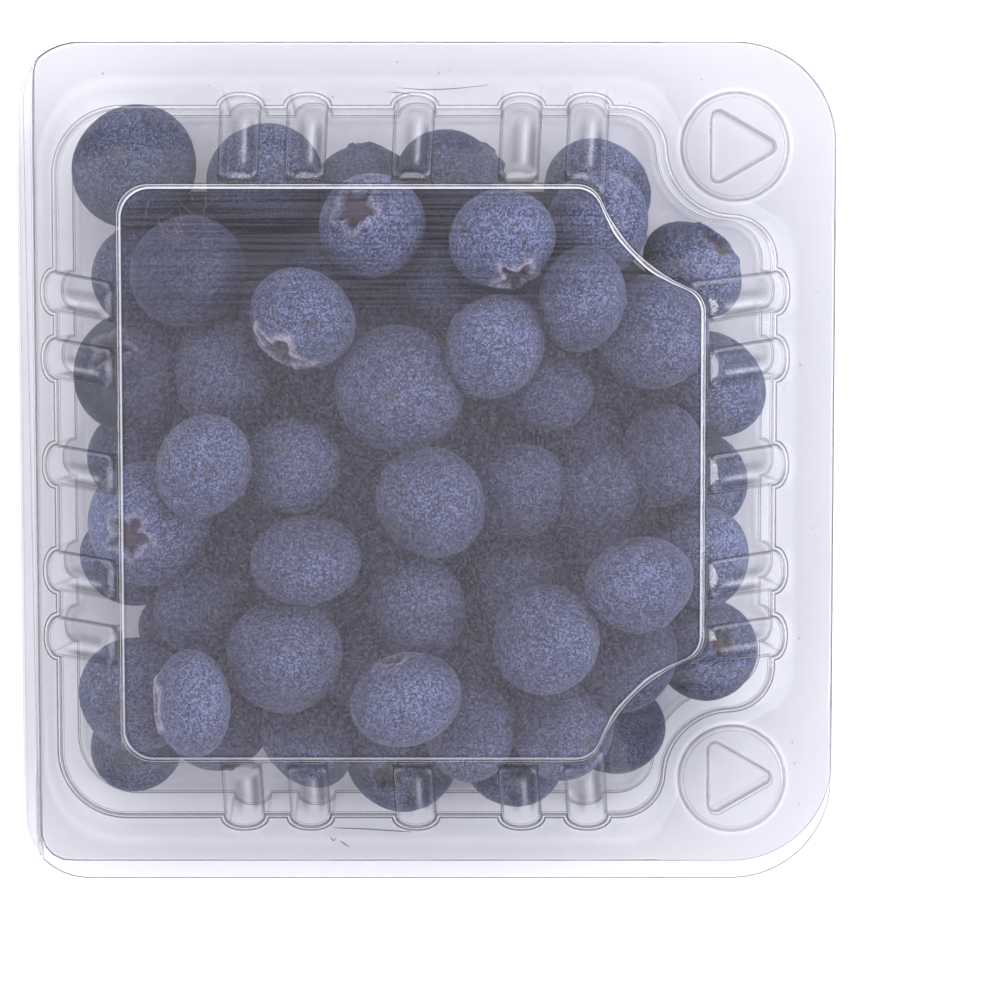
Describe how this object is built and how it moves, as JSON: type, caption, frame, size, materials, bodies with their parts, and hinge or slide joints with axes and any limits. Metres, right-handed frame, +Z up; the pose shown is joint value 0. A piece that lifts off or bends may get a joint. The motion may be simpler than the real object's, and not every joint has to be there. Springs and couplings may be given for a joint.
{
  "type": "punnet of blueberries",
  "caption": "Clear hinged film punnet with ribbed walls and snap buttons, closed and full of fresh blueberries, lying flat on its back.",
  "frame": {"origin": "on the table under the middle of the pack's box", "axes": "+Z up through the shown half's flat panel, -X towards the film hinge, +X towards the snap buttons"},
  "size_m": [0.115, 0.1186, 0.0368],
  "materials": {
    "film": "clear thermoformed film, glossy",
    "blueberry": "blue-black fruit skin with a pale waxy bloom"
  },
  "bodies": {
    "base_body": {"base": "film", "hinge": "film", "berries": "blueberry"},
    "lid_body": {"lid": "film"}
  },
  "joints": [
    {"name": "lid_hinge", "type": "hinge", "parent": "base_body", "child": "lid_body", "pos_m": [-0.057, 0, 0.01615], "axis": [0, -1, 0], "range_deg": [0, 160]}
  ]
}
